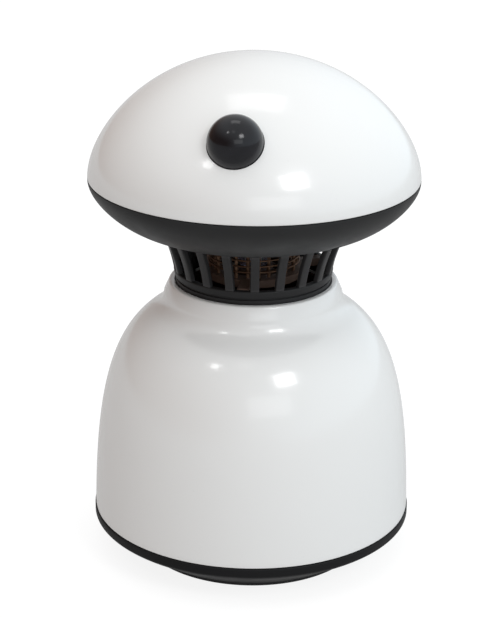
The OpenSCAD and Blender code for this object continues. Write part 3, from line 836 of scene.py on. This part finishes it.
def make_spring():
    """The button's coil spring, with closed end turns."""
    coil_r = 8 * MM
    wire_r = 0.45 * MM
    bottom, top = -16.5 * MM, -7.2 * MM
    turns = 5
    around = 10
    steps = 28 * turns
    end_share = 0.06      # share of the length of wire in each closed end
    bm = bmesh.new()
    rings = []
    for i in range(steps + 1):
        a = 2 * math.pi * turns * i / steps
        f = min(max((i / steps - end_share) / (1 - 2 * end_share), 0), 1)
        middle = Vector((coil_r * math.cos(a), coil_r * math.sin(a), bottom + (top - bottom) * f))
        out = Vector((math.cos(a), math.sin(a), 0))
        ring = []
        for k in range(around):
            b = 2 * math.pi * k / around
            on_wire = middle + wire_r * (out * math.cos(b) + Vector((0, 0, math.sin(b))))
            ring.append(bm.verts.new(BUTTON_FRAME @ on_wire))
        rings.append(ring)
    for a, b in zip(rings, rings[1:]):
        for k in range(around):
            j = (k + 1) % around
            bm.faces.new((a[k], a[j], b[j], b[k]))
    bm.faces.new(rings[0])
    bm.faces.new(rings[-1])
    spring = stand_for(from_bmesh("button_coil", bm, math.radians(60)), "button_spring")
    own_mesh(spring)


# ---------------------------------------------------------------- grid and lamp

def make_weld_beads():
    """A small bead where each hoop is spot-welded to a wire of its own set."""
    bm = bmesh.new()
    rnd = random.Random(7)
    hoop_r = 0.45 * MM
    live = [low("live_rings").z + hoop_r, high("live_rings").z - hoop_r]
    earthed = [low("ground_rings").z + hoop_r, high("ground_rings").z - hoop_r]
    earthed.insert(1, sum(earthed) / 2)
    sets = (
        (0, high("live_rings").x, live),
        (1, high("ground_rings").x - 0.95 * MM, earthed),
    )
    for first, reach, levels in sets:
        for i in range(first, WIRES, 2):
            for z in levels:
                size = rnd.uniform(0.42, 0.55) * MM
                flat = Matrix.Diagonal((0.7, 1.15, 0.9, 1))
                place = spin(i * 360 / WIRES) @ Matrix.Translation((reach, 0, z)) @ flat
                bmesh.ops.create_icosphere(bm, subdivisions=2, radius=size, matrix=place)
    add_on(from_bmesh("weld_beads", bm), "upper", "bronze_wire")


def make_lamp():
    """A clear closed tube, and a lens on each light-emitting diode inside it."""
    bottom = low("lamp_cover").z
    top = high("lamp_cover").z
    r = high("lamp_cover").x
    wall = MM
    outline = rounded(
        (r, top), (r, bottom, 6 * MM), (0, bottom), (0, bottom + wall), (r - wall, bottom + wall, 5 * MM),
        (r - wall, top), steps=14,
    )
    stand_for(turned("lamp_tube_glass", outline, 96), "lamp_cover")
    bm = bmesh.new()
    face = high("uv_leds").y - 0.02 * MM
    lens = ((0, 0), (1.0 * MM, 0), (0.7 * MM, 0.02 * MM), (0, 0.02 * MM))
    for side in (-1, 1):
        for x in (-2.4 * MM, 2.4 * MM):
            for z in (141 * MM, 145 * MM, 149 * MM):
                place = Matrix.Translation((x, side * face, z)) @ Matrix.Rotation(math.pi / 2 * -side, 4, "X")
                turn_into(bm, lens, 24, place)
    add_on(from_bmesh("led_lenses", bm), "upper", "lamp_clear")


# ---------------------------------------------------------------- fan

def make_rotor():
    """Hub cup and seven twisted, swept blades."""
    lo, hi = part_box("fan_rotor")
    hub_r = 14 * MM
    cup_r = 12.2 * MM
    cup_z = 104.5 * MM
    hub = rounded(
        (0, hi.z, 0), (hub_r, hi.z, 1.5 * MM), (hub_r, lo.z, 0.3 * MM), (cup_r, lo.z, 0.3 * MM),
        (cup_r, cup_z, 0.5 * MM), (0, cup_z),
    )
    rotor = turned("fan_wheel", hub, 128)
    bm = bmesh.new()
    for i in range(BLADES):
        blade_into(bm, spin(i * 360 / BLADES), radial_reach("fan_rotor") - 0.2 * MM)
    boolean(rotor, from_bmesh("blades", bm, math.radians(50)), "UNION")
    stand_for(rotor, "fan_rotor", BROWN)


def blade_into(bm, place, tip):
    """A thin arched blade. Towards its tip it lies flatter, gets wider and sweeps back."""
    rows = 14
    across = 8
    root = 13 * MM
    middle = 99.5 * MM
    lowest, highest = 93.6 * MM, 105.4 * MM
    sheet = []
    for i in range(rows + 1):
        f = i / rows
        r = root + (tip - root) * f
        pitch = math.radians(50 - 20 * f)
        round_tip = 1 - 0.25 * max(0, f - 0.85) / 0.15
        chord = (15 + 5 * f) * MM * round_tip
        sweep = math.radians(10) * f * f
        row = []
        for k in range(across + 1):
            u = k / across - 0.5
            arch = 1.6 * MM * (1 - 4 * u * u)
            along = u * chord * math.cos(pitch)
            z = middle + u * chord * math.sin(pitch) * 0.78 + arch * 0.6
            a = sweep + (along - arch * 0.5) / r
            half = (0.75 - 0.35 * abs(2 * u)) * MM
            row.append((r, a, min(max(z, lowest), highest), half))
        sheet.append(row)
    skins = []
    for side in (1, -1):
        skins.append([[bm.verts.new(place @ Vector((r * math.cos(a), r * math.sin(a), z + side * half)))
                       for r, a, z, half in row] for row in sheet])
    top, bottom = skins
    for i in range(rows):
        for k in range(across):
            bm.faces.new((top[i][k], top[i][k + 1], top[i + 1][k + 1], top[i + 1][k]))
            bm.faces.new((bottom[i][k], bottom[i + 1][k], bottom[i + 1][k + 1], bottom[i][k + 1]))
    for i in range(rows):
        for k in (0, across):
            bm.faces.new((top[i][k], top[i + 1][k], bottom[i + 1][k], bottom[i][k]))
    for k in range(across):
        for i in (0, rows):
            bm.faces.new((top[i][k], bottom[i][k], bottom[i][k + 1], top[i][k + 1]))


# ---------------------------------------------------------------- small board parts

def make_board_parts():
    """Sixteen chip parts along the control board's edge and one controller chip."""
    rnd = random.Random(21)
    z = BOARD_TOP_Z
    chips = bmesh.new()
    ends = bmesh.new()
    for k in range(16):
        a = math.radians(200 + 9.5 * k)
        r = (34.5 if k % 2 else 37.0) * MM
        turn = spin(math.degrees(a) + rnd.choice((0, 90)))
        place = Matrix.Translation((r * math.cos(a), r * math.sin(a), z)) @ turn
        box_into(chips, (-0.9 * MM, -0.6 * MM, 0), (0.9 * MM, 0.6 * MM, 0.5 * MM), place, 0.06 * MM)
        for x in (-1.2 * MM, 1.2 * MM):
            lo = (x - 0.3 * MM, -0.65 * MM, 0)
            hi = (x + 0.3 * MM, 0.65 * MM, 0.55 * MM)
            box_into(ends, lo, hi, place, 0.08 * MM)
    chip = Matrix.Translation((0, -24 * MM, z))
    box_into(chips, (-2.5 * MM, -2 * MM, 0.15 * MM), (2.5 * MM, 2 * MM, 1.6 * MM), chip, 0.2 * MM)
    for k in range(4):
        x = (-1.9 + 1.27 * k) * MM
        for y in (-2.5 * MM, 2.5 * MM):
            lo = (x - 0.2 * MM, y - 0.6 * MM, 0)
            hi = (x + 0.2 * MM, y + 0.6 * MM, 0.3 * MM)
            box_into(ends, lo, hi, chip, 0.05 * MM)
    add_on(from_bmesh("chip_parts", chips), "upper", "black_plastic")
    add_on(from_bmesh("chip_pads", ends), "upper", "steel")


# ---------------------------------------------------------------- carried-over CAD nodes

def dress_cad_nodes():
    """Materials for the nodes that keep their CAD shape, and rounder skins for the two swept leads."""
    for name, obj in frame["nodes"].items():
        paint(obj, BY_SLOT[SLOT_OF[name]])
    for name in ("intake_duct", "grid_lower_holder"):
        paint(frame["nodes"][name], BROWN)
    paint(frame["nodes"]["drive_transistor"], MATT_BLACK)
    for name in ("supply_lead", "switch_leads"):
        obj = frame["nodes"][name]
        weld = obj.modifiers.new("weld", "WELD")
        weld.merge_threshold = 0.005 * MM
        round_off = obj.modifiers.new("round", "SUBSURF")
        round_off.levels = 1
        round_off.render_levels = 2


# ---------------------------------------------------------------- studio

CAMERA_AZIMUTH = 8
CAMERA_BACK = 0.833
CAMERA_SIDE = -0.0014
CAMERA_HEIGHT = RIM_Z + 0.2472
CAMERA_PITCH = 0.358
CAMERA_ROLL = 0.009
CAMERA_LENS = 112.2

WORLD_LEFT = (0.27, 0.165, 0.12)
WORLD_RIGHT = (1.10, 1.20, 1.27)
WORLD_TOP = (1.12, 1.14, 1.15)


def make_camera():
    """The photo's viewpoint: a long lens in front of the object that looks down on it."""
    data = bpy.data.cameras.new("camera")
    data.sensor_width = 36
    data.lens = CAMERA_LENS
    data.clip_start = 0.05
    data.clip_end = 50
    cam = bpy.data.objects.new("camera", data)
    bpy.context.scene.collection.objects.link(cam)
    turn = Matrix.Rotation(math.radians(CAMERA_AZIMUTH), 4, "Z")
    place = turn @ Matrix.Translation((CAMERA_SIDE, -CAMERA_BACK, CAMERA_HEIGHT))
    tilt = Matrix.Rotation(math.pi / 2 - CAMERA_PITCH, 4, "X") @ Matrix.Rotation(CAMERA_ROLL, 4, "Z")
    cam.matrix_world = place @ tilt
    bpy.context.scene.camera = cam


def softbox(name, azimuth, elevation, distance, width, height, power, colour=(1, 1, 1)):
    """An area light that looks at the middle of the object. Azimuth is to the right of the camera."""
    data = bpy.data.lights.new(name, "AREA")
    data.shape = "RECTANGLE"
    data.size = width
    data.size_y = height
    data.energy = power
    data.color = colour
    obj = bpy.data.objects.new(name, data)
    bpy.context.scene.collection.objects.link(obj)
    a = math.radians(azimuth + CAMERA_AZIMUTH)
    e = math.radians(elevation)
    toward = Vector((math.sin(a) * math.cos(e), -math.cos(a) * math.cos(e), math.sin(e)))
    obj.location = Vector((0, 0, 0.13)) + toward * distance
    obj.rotation_mode = "QUATERNION"
    obj.rotation_quaternion = toward.to_track_quat("Z", "Y")


def make_lights():
    """One window on the right, a low fill in front, and lamps for the other highlights."""
    softbox("window_high", 32, 40, 3.0, 0.80, 0.66, 18, (0.985, 0.995, 1.0))
    softbox("lamp_left", -45, 51.5, 3.0, 0.30, 0.30, 3.0)
    softbox("lamp_over", 178, 74, 2.6, 1.1, 0.7, 4.5)
    softbox("fill_low", 14, 20, 3.0, 1.8, 0.8, 6, (0.97, 0.99, 1.0))
    softbox("lamp_front", -12, 59, 2.6, 0.45, 0.4, 0.5)


def make_world():
    """A soft dome: bright overhead, cool on the camera's right, dim and warm on its left."""
    world = bpy.data.worlds.new("studio")
    bpy.context.scene.world = world
    world.use_nodes = True
    tree = world.node_tree
    background = tree.nodes["Background"]
    where = tree.nodes.new("ShaderNodeTexCoord")
    turn = tree.nodes.new("ShaderNodeMapping")
    turn.inputs["Rotation"].default_value = (0, 0, math.radians(-CAMERA_AZIMUTH))
    split = tree.nodes.new("ShaderNodeSeparateXYZ")
    tree.links.new(where.outputs["Generated"], turn.inputs["Vector"])
    tree.links.new(turn.outputs["Vector"], split.inputs["Vector"])

    def blend(axis, start, end, a, b):
        slide = tree.nodes.new("ShaderNodeMapRange")
        slide.interpolation_type = "SMOOTHSTEP"
        slide.inputs["From Min"].default_value = start
        slide.inputs["From Max"].default_value = end
        tree.links.new(split.outputs[axis], slide.inputs["Value"])
        mix = tree.nodes.new("ShaderNodeMix")
        mix.data_type = "RGBA"
        tree.links.new(slide.outputs["Result"], mix.inputs["Factor"])
        for value, socket in ((a, mix.inputs[6]), (b, mix.inputs[7])):
            if isinstance(value, tuple):
                socket.default_value = (*value, 1)
            else:
                tree.links.new(value, socket)
        return mix.outputs[2]

    level = blend("X", -0.8, 0.75, WORLD_LEFT, WORLD_RIGHT)
    tree.links.new(blend("Z", 0.25, 0.95, level, WORLD_TOP), background.inputs["Color"])


def make_floor():
    """White floor with a faint shadow. Its glow is weaker on the object than in the picture."""
    bounce, white = 0.41, 0.86      # emission for light that reaches the object, and for the picture
    bm = bmesh.new()
    bmesh.ops.create_grid(bm, x_segments=8, y_segments=8, size=8)
    floor = from_bmesh("floor", bm)
    s = Shader("pale_floor")
    s.set(Roughness=0.9, Specular_IOR_Level=0.1)
    s.set(Emission_Color=(1, 1, 1, 1))
    seen = s.node("ShaderNodeLightPath").outputs["Is Camera Ray"]
    s.join(s.ramp(seen, bounce, white, 0, 1), s.main.inputs["Emission Strength"])
    s.colour(s.mix(s.ramp(s.noise(3, 3), 0, 1), (0.17, 0.17, 0.17), (0.19, 0.19, 0.19)))
    paint(floor, s.material)


bpy.context.scene.view_settings.view_transform = "Standard"
make_camera()
dress_cad_nodes()
make_base_dish()
make_foot()
make_tray()
make_body()
make_neck()
make_cap()
make_underside()
make_button()
make_spring()
make_weld_beads()
make_lamp()
make_rotor()
make_board_parts()
make_floor()
make_world()
make_lights()
